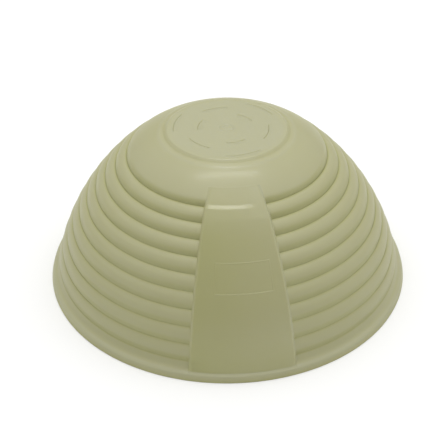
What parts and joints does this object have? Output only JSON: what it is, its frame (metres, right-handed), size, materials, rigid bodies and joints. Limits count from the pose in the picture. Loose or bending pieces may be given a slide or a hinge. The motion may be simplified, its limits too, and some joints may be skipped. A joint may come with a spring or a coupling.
{
  "type": "proofing basket",
  "caption": "Round ribbed plastic proofing basket for bread dough, standing upside down on its flared lip, with a smooth front panel and air slots in its raised foot.",
  "frame": {"origin": "centre of the lip's resting plane, on the basket's axis", "axes": "+Z along the basket's axis from the lip up to the foot, -Y towards the middle of the smooth panel, +X to the right seen from the panel's side"},
  "size_m": [0.22, 0.22, 0.0974],
  "materials": {
    "cream_plastic": "satin moulded polypropylene, cream, slightly translucent"
  },
  "bodies": {
    "root": {"basket_shell": "cream_plastic"}
  },
  "joints": []
}
